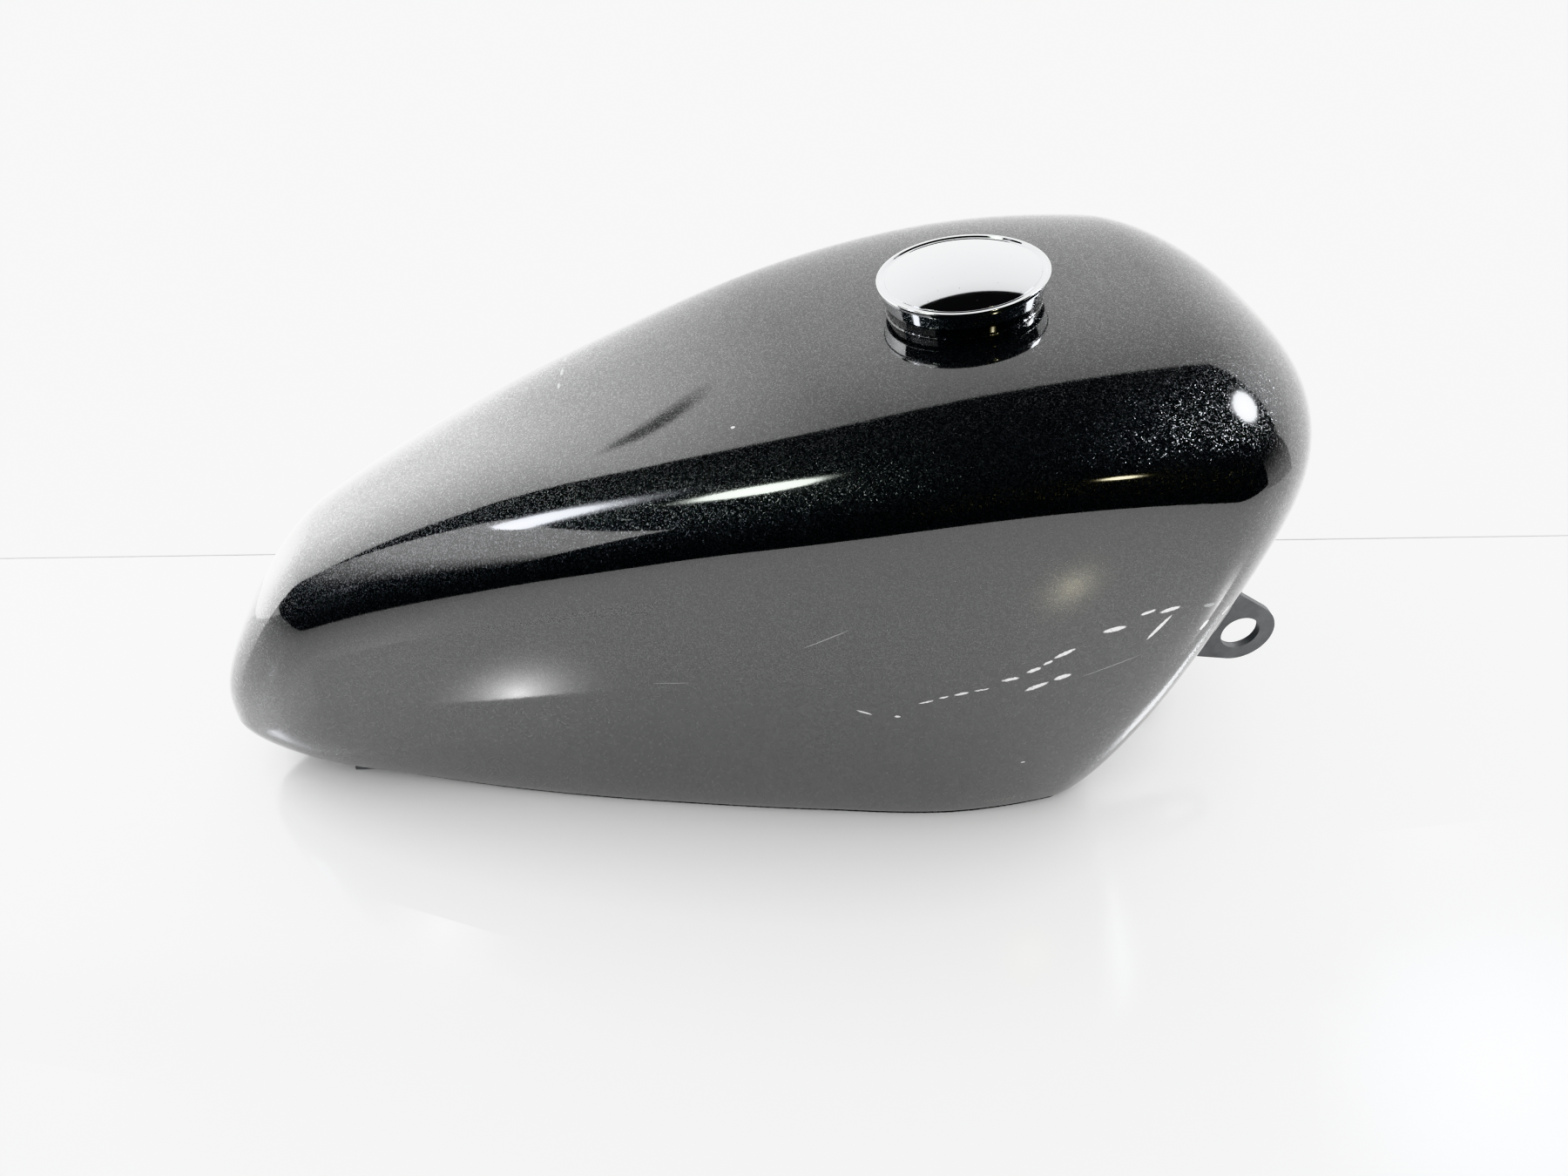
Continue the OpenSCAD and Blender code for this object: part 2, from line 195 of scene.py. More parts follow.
# The body's lines, in mm, are those of the CAD part, with two exceptions: the sixth half width is
# 0.1 less, which keeps the smooth skin inside the CAD box, and the end sections are closer to the
# ends.
NOSE_X = 238
NOSE_Z = 187
NOSE_ROUND = 66         # length over which the nose closes
TAIL_X = -254.3
TAIL_Z = 36
TAIL_ROUND = 60         # length over which the tail closes
FRONT_X = 165           # where the front face would meet the flat underside
FRONT_SLOPE = 2.62
BEND = 25               # half length of the bend between the two
TAIL_LIFT = 11          # lift of the underside at the tail
LIFT_X = -37            # where that lift starts
SHEET = 1.2
TIP = 0.0005            # the first and last sections stand this far in from the ends
TAIL_FLAT = 0.3         # the tail's very end is flattened by this much

# Values at equal stations from tail to nose: crown height, half width at the widest line, height
# of the widest line, and half width of the pan.
CROWN_ROW = [96, 144, 178, 201, 219, 232, 238, 236]
WIDTH_ROW = [37, 53, 72, 91, 108, 114.9, 114, 106]
WAIST_ROW = [38, 89, 131, 164, 187, 198, 196, 181]
FLOOR_ROW = [8, 25, 43, 58, 71, 80, 71, 47]

CROWN_POWER = 2 / 3.1   # squarish shoulders along most of the length
NOSE_POWER = 2 / 2.5    # rounder shoulders at the nose
ROUNDER_FROM = 0.7      # share of the length where the shoulders start to get rounder
ROUNDER_OVER = 0.3      # share of the length over which they do
SIDE_POWER = 2 / 1.33   # how the side curves in towards the underside
DROP_POWER = 2 / 1.7

TUNNEL_HALF = 28        # half width of the frame tunnel
TUNNEL_SHARE = 0.62     # the most of the pan's half width that the tunnel takes
ROOF_FRONT = 112        # height of the tunnel's roof at the nose
ROOF_TAIL = 26          # and at the tail
ARCH_POWER = 0.55       # squarish arch

CAP_X = 93              # where the filler's axis meets the crown
CAP_LEAN = 7.7          # rearward lean of that axis in degrees
NECK_R = 32
NECK_HOLE = 30
CAP_R = 35.5
RIM_S = 12              # heights over the skin along the filler's axis: the rim,
SKIRT_LOW = 4.6         # and the skirt's lower edge
SKIRT_FOOT = 33.4       # radius of the skirt at that edge
DOME_HIGH = 5           # height of the dome over the rim


def mix(a, b, t):
    """The number a at t = 0 and b at t = 1."""
    return a + (b - a) * t


def along(x):
    """Share of the length from tail to nose."""
    return (x - TAIL_X) / (NOSE_X - TAIL_X)


def row(values, x):
    """Smooth curve through values at equal stations from tail to nose."""
    t = along(x) * (len(values) - 1)
    r = [2 * values[0] - values[1]] + values + [2 * values[-1] - values[-2]]
    k = min(len(values) - 2, max(0, int(math.floor(t))))
    f = t - k
    a, b, c, d = r[k:k + 4]
    return (b + f / 2 * (c - a) + f * f * (a - 2.5 * b + 2 * c - 0.5 * d)
            + f ** 3 * (-0.5 * a + 1.5 * b - 1.5 * c + 0.5 * d))


def tail_e(x):
    """0 at the tail, rising in a quarter ellipse to 1."""
    return math.sqrt(max(0, 1 - (1 - min(1, (x - TAIL_X) / TAIL_ROUND)) ** 2))


def nose_e(x):
    """0 at the nose, rising in a quarter ellipse to 1."""
    return math.sqrt(max(0, 1 - (1 - min(1, (NOSE_X - x) / NOSE_ROUND)) ** 2))


def closed(value, x):
    """A height drawn in to the tail's and the nose's own height at the ends."""
    return mix(NOSE_Z, mix(TAIL_Z, value, tail_e(x)), nose_e(x))


def crown(x):
    """Height of the skin on the centreline."""
    return closed(row(CROWN_ROW, x), x)


def half_width(x):
    """Half width at the widest line."""
    return row(WIDTH_ROW, x) * tail_e(x) * nose_e(x)


def floor_half(x):
    """Half width of the pan, out to its seam."""
    return row(FLOOR_ROW, x) * tail_e(x) * nose_e(x)


def front_rise(d):
    """Height of the front face at a distance d beyond its foot, with the bend."""
    if d < -BEND:
        return 0
    return FRONT_SLOPE * d if d > BEND else FRONT_SLOPE * (d + BEND) ** 2 / (4 * BEND)


def tail_rise(x):
    """Lift of the underside towards the tail."""
    return TAIL_LIFT * max(0, (LIFT_X - x) / (LIFT_X - TAIL_X)) ** 2


def base(x):
    """Height of the underside at its seam."""
    return mix(TAIL_Z, min(NOSE_Z, front_rise(x - FRONT_X)) + tail_rise(x), tail_e(x))


def shoulder_power(x):
    """How square the section's shoulders are at x."""
    k = max(0, (along(x) - ROUNDER_FROM) / ROUNDER_OVER)
    return mix(CROWN_POWER, NOSE_POWER, k * k * (3 - 2 * k))


def skin_section(x, fine=720):
    """Right half of the section at x, from the crown to the seam with the pan, as (y, z)."""
    w = half_width(x)
    b = floor_half(x)
    waist = closed(row(WAIST_ROW, x), x)
    power = shoulder_power(x)
    a = np.linspace(0, math.pi / 2, fine)
    sine = np.sin(a)
    cosine = np.clip(np.cos(a), 0, 1)
    upper = np.stack([-w * sine ** power, waist + (crown(x) - waist) * cosine ** power], 1)
    lower = np.stack([-b - (w - b) * cosine ** SIDE_POWER,
                      waist - (waist - base(x)) * sine ** DROP_POWER], 1)
    return np.concatenate([upper, lower[1:]])


def pan_section(x, fine=240):
    """Right half of the pan at x, from the seam to the tunnel's roof, as (y, z)."""
    b = floor_half(x)
    w = min(TUNNEL_HALF, TUNNEL_SHARE * b)
    z = base(x)
    rise = max(0, mix(ROOF_TAIL, ROOF_FRONT, along(x)) - z)
    flat = np.stack([np.linspace(-b, -w, fine // 3), np.full(fine // 3, z)], 1)
    a = np.linspace(0, math.pi / 2, fine)
    arch = np.stack([-w * np.clip(np.cos(a), 0, 1) ** ARCH_POWER,
                     z + rise * np.sin(a) ** ARCH_POWER], 1)
    return np.concatenate([flat, arch[1:]])


def resample(line, count):
    """The same line with equal steps along its length."""
    length = np.concatenate([[0], np.cumsum(np.linalg.norm(np.diff(line, axis=0), axis=1))])
    at = np.linspace(0, length[-1], count)
    return np.stack([np.interp(at, length, line[:, i]) for i in range(line.shape[1])], 1)


def stations(count, tries=4000):
    """Places along the length, closer together where the ends curve in."""
    fine = np.linspace(TAIL_X + TIP, NOSE_X - TIP, tries)
    line = np.array([[x, crown(x) + half_width(x)] for x in fine])
    return resample(line, count)[:, 0]


def section_grid(section, count, xs):
    """Grid of points in metres: one section for each place along the length."""
    rows = []
    for x in xs:
        line = resample(section(x), count)
        rows.append(np.concatenate([np.full((count, 1), max(x, TAIL_X + TAIL_FLAT)), line], 1))
    return np.array(rows) * mm


def grid_normals(grid):
    """Unit normals of a grid, by neighbours, mirrored across the centreline at its first column."""
    first = grid[:, 1:2] * np.array([1, -1, 1])
    wide = np.concatenate([first, grid, grid[:, -1:] * 2 - grid[:, -2:-1]], 1)
    tall = np.concatenate([grid[:1] * 2 - grid[1:2], grid, grid[-1:] * 2 - grid[-2:-1]], 0)
    normal = np.cross(tall[2:] - tall[:-2], wide[:, 2:] - wide[:, :-2])
    return normal / np.maximum(np.linalg.norm(normal, axis=2, keepdims=True), 1e-12)


def top_height(x, y):
    """Height of the skin above the widest line, at a place seen from above."""
    power = shoulder_power(x)
    waist = closed(row(WAIST_ROW, x), x)
    share = min(1, abs(y) / half_width(x)) ** (2 / power)
    return waist + (crown(x) - waist) * (1 - share) ** (power / 2)


filler_place = (Matrix.Translation(Vector((CAP_X, 0, crown(CAP_X))) * mm)
                @ Matrix.Rotation(math.radians(-CAP_LEAN), 4, "Y"))

LENGTHWISE = 260    # sections along the body
SKIN_STEPS = 130    # steps from the crown to the seam
PAN_STEPS = 70      # steps from the seam to the middle of the tunnel's roof

xs = stations(LENGTHWISE)
skin_grid = section_grid(skin_section, SKIN_STEPS, xs)
skin_normal = grid_normals(skin_grid)
pan_grid = section_grid(pan_section, PAN_STEPS, xs)


# ---------------------------------------------------------------- materials


class Nodes:
    """A material's node tree, with short ways to add and join nodes."""

    def __init__(self, name):
        self.material = bpy.data.materials.new(name)
        self.material.use_nodes = True
        self.tree = self.material.node_tree
        self.shader = self.tree.nodes["Principled BSDF"]
        self.place = self.add("ShaderNodeTexCoord").outputs["Object"]

    def add(self, kind, inputs=None, **settings):
        """A new node with its settings, and its inputs set or linked."""
        node = self.tree.nodes.new(kind)
        for key, value in settings.items():
            setattr(node, key, value)
        for key, value in (inputs or {}).items():
            if isinstance(value, bpy.types.NodeSocket):
                self.tree.links.new(value, node.inputs[key])
            else:
                node.inputs[key].default_value = value
        return node

    def set(self, **values):
        """Sets the shader's own sockets; names have _ for spaces."""
        for key, value in values.items():
            socket = self.shader.inputs[key.replace("_", " ")]
            if isinstance(value, bpy.types.NodeSocket):
                self.tree.links.new(value, socket)
            else:
                socket.default_value = value

    def noise(self, size, detail=2, roughness=0.5, place=None):
        """Noise whose features are about this many metres across."""
        inputs = {"Vector": place or self.place, "Scale": 1 / size, "Detail": detail,
                  "Roughness": roughness}
        return self.add("ShaderNodeTexNoise", inputs).outputs["Fac"]

    def stretched(self, x, y, z):
        """The place scaled along each axis, for grain and brushing."""
        inputs = {"Vector": self.place, "Scale": (x, y, z)}
        return self.add("ShaderNodeMapping", inputs).outputs["Vector"]

    def ramp(self, value, low, high, at_low=0.0, at_high=1.0):
        """Runs from at_low to at_high as the value goes from low to high, and stays there beyond."""
        inputs = {"Value": value, "From Min": low, "From Max": high, "To Min": at_low,
                  "To Max": at_high}
        return self.add("ShaderNodeMapRange", inputs).outputs["Result"]

    def math(self, operation, a, b=0.0):
        """The result of a math operation on two numbers."""
        return self.add("ShaderNodeMath", {0: a, 1: b}, operation=operation).outputs[0]

    def vector(self, operation, a, b=(0, 0, 0), output="Vector"):
        """The result of a math operation on two vectors."""
        return self.add("ShaderNodeVectorMath", {0: a, 1: b}, operation=operation).outputs[output]

    def blend(self, share, a, b):
        """Colour a where share is 0 and b where it is 1."""
        node = self.add("ShaderNodeMix", {0: share, 6: a, 7: b}, data_type="RGBA")
        return node.outputs[2]

    def between(self, share, a, b):
        """Number a where share is 0 and b where it is 1."""
        return self.ramp(share, 0.0, 1.0, a, b)

    def from_middle(self, middle, half_size, slope, place=None):
        """Distance from the middle of a sloping ellipsoid, counted so that its surface is at 1."""
        inputs = {"Vector": place or self.place, "Location": middle, "Scale": half_size,
                  "Rotation": (0, math.radians(-slope), 0)}
        inside = self.add("ShaderNodeMapping", inputs, vector_type="TEXTURE").outputs["Vector"]
        return self.vector("LENGTH", inside, output="Value")

    def chips(self, places, ragged):
        """Mask that is 1 inside small ragged ellipsoids, which are placed in mm."""
        edge = self.noise(0.9 * mm, 4, 0.7)
        inputs = {"Vector": self.place, "Scale": 1 / (1.3 * mm), "Detail": 3}
        wander = self.add("ShaderNodeTexNoise", inputs).outputs["Color"]
        shift = self.vector("MULTIPLY", wander, (ragged * 2,) * 3)
        place = self.vector("ADD", self.place, self.vector("SUBTRACT", shift, (ragged,) * 3))
        total = None
        for x, y, z, length, depth, width, slope in places:
            middle = (x * mm, y * mm, z * mm)
            half_size = (length / 2 * mm, depth / 2 * mm, width / 2 * mm)
            mask = self.ramp(self.from_middle(middle, half_size, slope, place), 0.85, 1.1, 1.0, 0.0)
            total = mask if total is None else self.math("MAXIMUM", total, mask)
        return self.math("MULTIPLY", total, self.ramp(edge, 0.32, 0.42))

    def bump(self, height, depth, normal=None):
        """Relief of this depth in metres for heights from 0 to 1."""
        inputs = {"Height": height, "Distance": depth, "Strength": 1.0}
        if normal is not None:
            inputs["Normal"] = normal
        return self.add("ShaderNodeBump", inputs).outputs["Normal"]


def grey(value, tint=0.0):
    """A grey, a little bluer for a positive tint."""
    return (value * (1 - tint), value, value * (1 + tint), 1)


FLAKE_SIZE = 0.4 * mm
FLAKE_TILT = 0.5

# Worn places in mm: middle x, y, z, then length, depth into the body, width, and slope in degrees.
CHIPS = [
    (40, -101, 97, 7, 9, 0.9, -25), (54, -102, 94, 2.5, 9, 1.4, 0), (65, -105, 104, 6, 9, 1.1, 18),
    (72, -106, 107, 4, 9, 1.0, 18), (79, -107, 109, 6, 9, 1.3, 15), (87, -108, 111, 6, 9, 0.8, 12),
    (98, -109, 117, 7, 9, 1.8, 12), (107, -110, 122, 6, 9, 2.2, 25), (112, -111, 126, 4, 9, 1.6, 30),
    (118, -111, 131, 9, 9, 2.0, 32), (110, -108, 111, 10, 9, 2.4, 28), (120, -109, 116, 7, 9, 2.6, 20),
    (136, -112, 143, 9, 9, 2.6, 12), (148, -112, 151, 6, 9, 1.6, 20), (155, -111, 141, 15, 9, 1.8, 62),
    (157, -112, 151, 8, 9, 2.2, 15), (176, -107, 137, 6, 12, 2.0, 70), (186, -103, 140, 5, 12, 1.4, 60),
    (-8, -52, 209, 1.5, 1.5, 3, 0), (115, -98, 52, 2, 9, 1.2, 0),
]
SCRATCHES = [
    (22, -105, 143, 22, 9, 0.45, 33), (140, -110, 120, 26, 9, 0.4, 24), (-40, -90, 110, 17, 12, 0.35, 8),
    (-77, 48, 187.5, 1.2, 6, 3, 0), (-78, 34, 190, 1.4, 7, 3, 0), (-79, 21, 190, 1.2, 5, 3, 0),
    (-222, -8, 108, 1.5, 5, 3, 45), (-214, -5, 119, 1.5, 4, 3, 45), (174, -110, 150, 2.2, 9, 5, 80),
]


def black_paint():
    """Gloss black with fine metal flake, scratches and chips under a clear coat with orange peel."""
    m = Nodes("black_paint")
    grains = m.add("ShaderNodeTexVoronoi", {"Vector": m.place, "Scale": 1 / FLAKE_SIZE})
    either_way = m.vector("SUBTRACT", grains.outputs["Color"], (0.5, 0.5, 0.5))
    tilt = m.vector("MULTIPLY", either_way, (FLAKE_TILT,) * 3)
    facing = m.add("ShaderNodeNewGeometry").outputs["Normal"]
    flake_normal = m.vector("NORMALIZE", m.vector("ADD", facing, tilt))
    grain_value = m.add("ShaderNodeSeparateColor", {0: grains.outputs["Color"]}).outputs[2]
    flake = m.ramp(grain_value, 0.45, 0.8)
    haze = m.noise(60 * mm, 3)
    worn = m.chips(CHIPS, 0.5 * mm)
    dull = m.chips(SCRATCHES, 0.25 * mm)
    peel = m.bump(m.noise(3.5 * mm, 3, 0.55), 0.007 * mm)
    peel = m.bump(m.noise(0.9 * mm, 3, 0.6, m.stretched(1, 1, 0.4)), 0.0022 * mm, peel)
    color = m.blend(flake, grey(0.004, 0.05), grey(0.05, 0.03))
    color = m.blend(dull, color, grey(0.25, 0.02))
    color = m.blend(worn, color, grey(0.8))
    m.set(Base_Color=color, Metallic=m.math("MAXIMUM", flake, worn), Specular_IOR_Level=0.0,
          Roughness=m.between(haze, 0.27, 0.34), Normal=flake_normal)
    m.set(Coat_Weight=1.0, Coat_IOR=2.0, Coat_Roughness=0.06, Coat_Normal=peel)
    return m.material


def chrome_finish():
    """Mirror chrome with hairline wiping marks and a few pits."""
    m = Nodes("chrome")
    hairs = m.noise(0.25 * mm, 4, 0.7, m.stretched(1, 0.08, 1))
    pits = m.add("ShaderNodeTexVoronoi", {"Vector": m.place, "Scale": 1 / (2.6 * mm)})
    pit = m.ramp(pits.outputs["Distance"], 0.04, 0.09, 1.0, 0.0)
    rare = m.ramp(m.add("ShaderNodeSeparateColor", {0: pits.outputs["Color"]}).outputs[0], 0.6, 0.65)
    pit = m.math("MULTIPLY", pit, rare)
    color = m.blend(pit, grey(0.88, 0.01), grey(0.25))
    m.set(Base_Color=color, Metallic=1.0, Roughness=m.between(m.math("ADD", hairs, pit), 0.015, 0.09),
          Normal=m.bump(pit, -0.02 * mm))
    return m.material


def satin_paint():
    """Thin satin paint over blasted plate."""
    m = Nodes("satin_dark_paint")
    grit = m.noise(0.5 * mm, 4, 0.7)
    patch = m.noise(9 * mm, 4, 0.6)
    color = m.blend(m.ramp(patch, 0.35, 0.7), grey(0.075, 0.04), grey(0.13, 0.05))
    m.set(Base_Color=color, Metallic=0.0, Roughness=m.between(patch, 0.38, 0.55),
          Specular_IOR_Level=0.6, Normal=m.bump(grit, 0.03 * mm))
    return m.material


def metal(name, low, high, roughness, grain=0.3 * mm, depth=0.006 * mm, stretch=(1, 1, 1)):
    """Plated or turned metal: two tones in patches, fine grain and uneven polish."""
    m = Nodes(name)
    fine = m.noise(grain, 5, 0.7, m.stretched(*stretch))
    patch = m.noise(5 * mm, 4, 0.65)
    m.set(Base_Color=m.blend(patch, low, high), Metallic=1.0, Normal=m.bump(fine, depth),
          Roughness=m.between(m.math("MULTIPLY", fine, patch), roughness * 0.7, roughness * 1.8))
    return m.material


def moulded(name, color, roughness, grain, depth):
    """Moulded plastic or rubber: fine spark-eroded grain with dusty patches."""
    m = Nodes(name)
    fine = m.noise(grain, 3, 0.6)
    dust = m.ramp(m.noise(8 * mm, 5, 0.7), 0.5, 0.8)
    m.set(Base_Color=m.blend(dust, color, tuple(c * 1.8 for c in color[:3]) + (1,)), Metallic=0.0,
          Roughness=m.between(dust, roughness, roughness + 0.2), Normal=m.bump(fine, depth))
    return m.material


def felt_pad():
    """Pressed felt: matted fibres with lint."""
    m = Nodes("grey_felt")
    fibre = m.noise(0.35 * mm, 6, 0.75, m.stretched(1, 0.3, 1))
    cross = m.noise(0.3 * mm, 6, 0.75, m.stretched(0.3, 1, 1))
    mat = m.math("MAXIMUM", fibre, cross)
    m.set(Base_Color=m.blend(m.ramp(mat, 0.4, 0.75), (0.16, 0.15, 0.13, 1), (0.42, 0.4, 0.35, 1)),
          Roughness=0.95, Sheen_Weight=0.4, Sheen_Roughness=0.5, Normal=m.bump(mat, 0.15 * mm))
    return m.material


paint = black_paint()
chrome = chrome_finish()
ear_paint = satin_paint()
zinc = metal("zinc_plate", grey(0.42, 0.03), grey(0.62, 0.01), 0.3)
brass = metal("turned_brass", (0.6, 0.42, 0.16, 1), (0.8, 0.6, 0.26, 1), 0.2, 0.2 * mm, 0.004 * mm,
              (1, 1, 9))
spring_steel = metal("spring_steel", grey(0.3), grey(0.5, 0.02), 0.22, 0.15 * mm, 0.003 * mm)
plastic = moulded("black_plastic", grey(0.016), 0.42, 0.35 * mm, 0.012 * mm)
rubber = moulded("black_rubber", grey(0.012), 0.6, 0.2 * mm, 0.015 * mm)
felt = felt_pad()

CAD_MATERIALS = {
    "left_front_ear": ear_paint, "right_front_ear": ear_paint, "rear_mount_tab": ear_paint,
    "petcock_bung": zinc, "filler_neck": paint, "cap_plug": plastic,
    "ratchet_ring": zinc, "vent_filter": felt, "vent_valve": brass, "vent_spring": spring_steel,
    "cap_retainer": zinc, "retainer_screws": zinc, "cap_gasket": rubber,
}
for node, material in CAD_MATERIALS.items():
    nodes[node].data.materials.clear()
    nodes[node].data.materials.append(material)

for plate in ("left_front_ear", "right_front_ear", "rear_mount_tab"):
    broken_edge = nodes[plate].modifiers.new("broken_edge", "BEVEL")
    broken_edge.width = 0.35 * mm
    broken_edge.segments = 2
    broken_edge.limit_method = "ANGLE"
    broken_edge.angle_limit = math.radians(50)

# ---------------------------------------------------------------- shells and pan


def closed_sheet(name, node, outer, inner, side, edges, material):
    """Closed solid between two grids of points, which share the edges named by (row, column) walks."""
    rows, columns = outer.shape[:2]
    size = rows * columns
    faces = grid_faces(rows, columns, 0, True) + grid_faces(rows, columns, size, False)
    for walk in edges:
        for (i, j), (k, m) in zip(walk, walk[1:]):
            a, b = i * columns + j, k * columns + m
            faces.append((a, b, size + b, size + a))
    points = np.concatenate([outer.reshape(-1, 3), inner.reshape(-1, 3)]) * np.array([1, side, 1])
    obj = new_piece(name, points, faces, material)
    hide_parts(node)
    return obj


def border(rows, columns):
    """The four edges of a grid, as walks round it."""
    last = rows - 1
    end = columns - 1
    return [[(i, 0) for i in range(rows)], [(i, end) for i in range(rows)],
            [(0, j) for j in range(columns)], [(last, j) for j in range(columns)]]


HOLE_DEPTH = 60 * mm    # long enough to go through the sheet
BUNG_LIP = 1.8 * mm     # how far the bung lies over the edge of the pan's hole


def cut(obj, radius, place):
    """Cuts a round hole along a placing matrix's Z axis."""
    bpy.ops.mesh.primitive_cylinder_add(vertices=128, radius=radius, depth=HOLE_DEPTH)
    cutter = bpy.context.object
    cutter.matrix_world = place
    trim = obj.modifiers.new("hole", "BOOLEAN")
    trim.object = cutter
    trim.operation = "DIFFERENCE"
    trim.solver = "EXACT"
    bpy.context.view_layer.update()
    graph = bpy.context.evaluated_depsgraph_get()
    shape = bpy.data.meshes.new_from_object(obj.evaluated_get(graph))
    obj.modifiers.clear()
    obj.data = shape
    bpy.data.objects.remove(cutter)


skin_inner = skin_grid + SHEET * mm * skin_normal
skin_inner[..., 1] = np.minimum(skin_inner[..., 1], 0)
pan_normal = grid_normals(pan_grid)
pan_inner = pan_grid + SHEET * mm * pan_normal
pan_inner[:, 0] = skin_inner[:, -1]
pan_inner[:, -1, 1] = 0


def mirrored(grid):
    """The grid with its mirror image over the centreline added after its last column."""
    return np.concatenate([grid, (grid * np.array([1, -1, 1]))[:, -2::-1]], 1)


for side, name in ((1, "right_shell"), (-1, "left_shell")):
    shell = closed_sheet(name + "_skin", name, skin_grid, skin_inner, side,
                         border(LENGTHWISE, SKIN_STEPS), paint)
    sharpen(shell)
    cut(shell, NECK_HOLE * mm, filler_place)
    sharpen(shell)

pan = closed_sheet("tunnel_pan_skin", "tunnel_pan", mirrored(pan_grid), mirrored(pan_inner), 1,
                   border(LENGTHWISE, 2 * PAN_STEPS - 1), paint)
sharpen(pan)
bung_low, bung_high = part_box("petcock_bung")
bung_middle = (bung_low + bung_high) / 2
bung_r = (bung_high.x - bung_low.x) / 2
cut(pan, bung_r - BUNG_LIP, Matrix.Translation(bung_middle))
sharpen(pan)

# ---------------------------------------------------------------- welds

# Radii of the beads.
NECK_WELD = 0.9 * mm
EAR_WELD = 1.4 * mm
SEAM_WELD = 0.6 * mm
BUNG_WELD = 0.6 * mm
TAB_WELD = 1.1 * mm

# Places of the welds, in mm.
EAR_WELD_FROM = 2       # over the ear's lower end
EAR_WELD_TO = 44
EAR_WELD_STEP = 0.9
EAR_WELD_PROUD = 0.4    # in front of the front face
SEAM_FROM = TAIL_X + 22
SEAM_TO = FRONT_X - 20
SEAM_STEP = 1.1
SEAM_OUT = 0.6          # outside the pan's edge
SEAM_UP = 0.8           # over the underside
BUNG_WELD_UP = 0.8      # over the table
TAB_WELD_IN = 3         # in from the tab's ends
TAB_WELD_STEP = 0.8

LANDING_ROUNDS = 6      # tries that bring the neck's weld down onto the skin


def ring_weld(name, radius, thick, count=150):
    """A weld round the neck where it meets the skin."""
    path = []
    for k in range(count):
        a = 2 * math.pi * k / count
        rise = 0.0
        for _ in range(LANDING_ROUNDS):
            at = filler_place @ (Vector((radius * math.cos(a), radius * math.sin(a), rise)) * mm)
            rise += top_height(at.x / mm, at.y / mm) - at.z / mm
        path.append(at)
    return bead(name, path, thick, paint, closed=True, seed=3)


neck_weld = ring_weld("neck_weld", NECK_R, NECK_WELD)

for side, node in ((-1, "right_front_ear"), (1, "left_front_ear")):
    low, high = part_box(node)
    near = min(abs(low.y), abs(high.y))
    away = max(abs(low.y), abs(high.y))
    for face, y in (("inner", near), ("outer", away)):
        heights = np.arange(low.z / mm + EAR_WELD_FROM, low.z / mm + EAR_WELD_TO, EAR_WELD_STEP)
        path = [(FRONT_X + z / FRONT_SLOPE + EAR_WELD_PROUD, side * y / mm, z) for z in heights]
        weld = bead(f"{node}_{face}_weld", np.array(path) * mm, EAR_WELD, paint, seed=len(node + face))

for side, name in ((1, "right"), (-1, "left")):
    path = []
    for x in np.arange(SEAM_FROM, SEAM_TO, SEAM_STEP):
        path.append(Vector((x, side * (-floor_half(x) - SEAM_OUT), base(x) + SEAM_UP)) * mm)
    weld = bead(f"{name}_seam_weld", path, SEAM_WELD, paint, sides=8, ripple=0.06, seed=11)

bung_foot = []
for a in np.linspace(0, 2 * math.pi, 60, endpoint=False):
    at = bung_middle + Vector((bung_r * math.cos(a), bung_r * math.sin(a), 0))
    at.z = BUNG_WELD_UP * mm
    bung_foot.append(at)
bead("bung_weld", bung_foot, BUNG_WELD, paint, closed=True, seed=8)

tab_low, tab_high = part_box("rear_mount_tab")
for side, name in ((-1, "right"), (1, "left")):
    path = []
    for x in np.arange(tab_low.x / mm + TAB_WELD_IN, tab_high.x / mm - TAB_WELD_IN, TAB_WELD_STEP):
        path.append(Vector((x, side * tab_high.y / mm, base(x))) * mm)
    bead(f"tab_weld_{name}", path, TAB_WELD, paint, seed=5)

# ---------------------------------------------------------------- cap

DOME_R = 32.9
DOME_FOOT = 0.3         # the dome starts this far down, in a groove inside the rolled lip
COVER_SHEET = 0.8
LIP_ROUND = 0.5
dome_rise = DOME_HIGH + DOME_FOOT
dome_radius = (DOME_R ** 2 + dome_rise ** 2) / (2 * dome_rise)


def dome(thickness, edge, steps=30):
    """The dome's arc from the axis out to a radius, lowered by the sheet's thickness."""
    middle = RIM_S + DOME_HIGH - dome_radius
    return [(r, middle + math.sqrt((dome_radius - thickness) ** 2 - r * r))
            for r in np.linspace(0, edge, steps)]


groove = RIM_S - DOME_FOOT
roll_top = RIM_S + 0.3
under_roll = RIM_S - 1.9
inside_skirt = SKIRT_FOOT - COVER_SHEET
lip = rounded([
    (DOME_R - 1, groove + 0.33),        # the dome's edge
    (DOME_R, groove),                   # the groove
    (DOME_R + 0.4, groove),
    (DOME_R + 1.1, roll_top),           # the roll
    (CAP_R, roll_top),
    (CAP_R, RIM_S - 1.7),
    (CAP_R - 0.9, under_roll),
    (SKIRT_FOOT, SKIRT_LOW),            # the skirt
    (inside_skirt, SKIRT_LOW),
    (inside_skirt, under_roll),
    (DOME_R - 1, groove - 1),           # back under the dome
], LIP_ROUND)[1:-1]
cover = lathe("cap_cover_chrome", dome(0, DOME_R - 1) + lip + dome(COVER_SHEET, DOME_R - 3)[::-1],
              filler_place, chrome, "cap")
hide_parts("cap_cover")

# ---------------------------------------------------------------- stage

